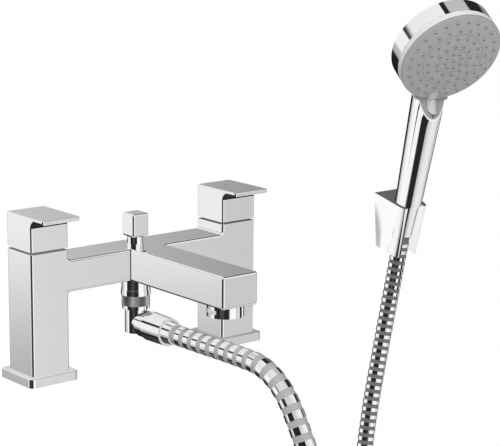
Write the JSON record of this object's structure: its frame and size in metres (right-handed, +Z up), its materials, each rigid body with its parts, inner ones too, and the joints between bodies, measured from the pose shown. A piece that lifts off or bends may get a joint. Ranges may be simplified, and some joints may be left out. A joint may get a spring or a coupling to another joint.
{
  "type": "deck mounted bath shower mixer",
  "caption": "Square bridge bath mixer for a deck, with levers, a pull diverter, a spout with aerator, a flexible hose, a round hand shower and a wall holder.",
  "frame": {"origin": "on the deck, midway between the two threaded tails", "axes": "+X from the hot tap to the cold tap, -Y the way the spout points, +Z up"},
  "size_m": [0.4974, 0.3037, 0.6962],
  "materials": {
    "chrome": "polished",
    "chromed_plastic": "polished",
    "brass": "machined",
    "steel": "plated",
    "rubber": "matt",
    "ceramic": "polished ceramic",
    "white_plastic": "satin",
    "grey_plastic": "satin",
    "light_grey_plastic": "gloss",
    "nozzle_rubber": "matt",
    "hose_metal": "polished and satin bands",
    "red": "gloss",
    "blue": "gloss"
  },
  "bodies": {
    "mixer": {"mixer_body": "chrome", "hot_base_plate": "chrome", "hot_base_seal": "rubber", "hot_tail": "brass", "hot_rubber_washer": "rubber", "hot_steel_washer": "steel", "hot_backnut": "brass", "hot_headwork_seal": "rubber", "hot_headwork_body": "brass", "hot_fixed_disc": "ceramic", "cold_base_plate": "chrome", "cold_base_seal": "rubber", "cold_tail": "brass", "cold_rubber_washer": "rubber", "cold_steel_washer": "steel", "cold_backnut": "brass", "cold_headwork_seal": "rubber", "cold_headwork_body": "brass", "cold_fixed_disc": "ceramic", "diverter_bush": "chrome", "diverter_spring": "steel", "outlet_nipple": "chrome", "check_valve": "white_plastic", "union_nut": "chrome", "union_washer": "rubber", "outlet_elbow": "chrome", "mixer_hose_nut": "chrome", "mixer_hose_washer": "rubber", "mixer_hose_ferrule": "chrome", "aerator_housing": "chrome", "aerator_insert": "white_plastic", "aerator_washer": "rubber", "holder_body": "chrome", "holder_wall_plate": "steel", "hose": "hose_metal"},
    "hot_handle": {"hot_lever": "chrome", "hot_spindle": "brass", "hot_turning_disc": "ceramic", "hot_marker": "red", "hot_grub_screw": "steel"},
    "cold_handle": {"cold_lever": "chrome", "cold_spindle": "brass", "cold_turning_disc": "ceramic", "cold_marker": "blue", "cold_grub_screw": "steel"},
    "diverter": {"diverter_knob": "chrome", "diverter_stem": "brass", "diverter_upper_seal": "rubber", "diverter_lower_seal": "rubber"},
    "handset": {"handset_shell": "chromed_plastic", "neck_insert": "grey_plastic", "water_tube": "white_plastic", "chamber_cover": "white_plastic", "handset_nut": "chrome", "handset_washer": "rubber", "handset_ferrule": "brass"},
    "spray_disc": {"spray_face": "grey_plastic", "face_border": "light_grey_plastic", "nozzle_mat": "nozzle_rubber", "selector_tab": "grey_plastic"}
  },
  "joints": [
    {"name": "hot_lever_turn", "type": "hinge", "parent": "mixer", "child": "hot_handle", "pos_m": [-0.09, 0, 0.1], "axis": [0, 0, 1], "range_deg": [-90, 0]},
    {"name": "cold_lever_turn", "type": "hinge", "parent": "mixer", "child": "cold_handle", "pos_m": [0.09, 0, 0.1], "axis": [0, 0, 1], "range_deg": [0, 90]},
    {"name": "diverter_pull", "type": "slide", "parent": "mixer", "child": "diverter", "axis": [0, 0, 1], "range_m": [0, 0.006], "stiffness_N_per_m": 300, "springref_m": -0.004, "deforming": ["diverter_spring"]},
    {"name": "handset_lift", "type": "slide", "parent": "mixer", "child": "handset", "axis": [0, -0.2139, 0.9769], "range_m": [0, 0.06]},
    {"name": "spray_selector_turn", "type": "hinge", "parent": "handset", "child": "spray_disc", "pos_m": [0.33428, -0.01059, 0.21471], "axis": [-0.2158, -0.8072, -0.5494], "range_deg": [-15, 15]}
  ]
}
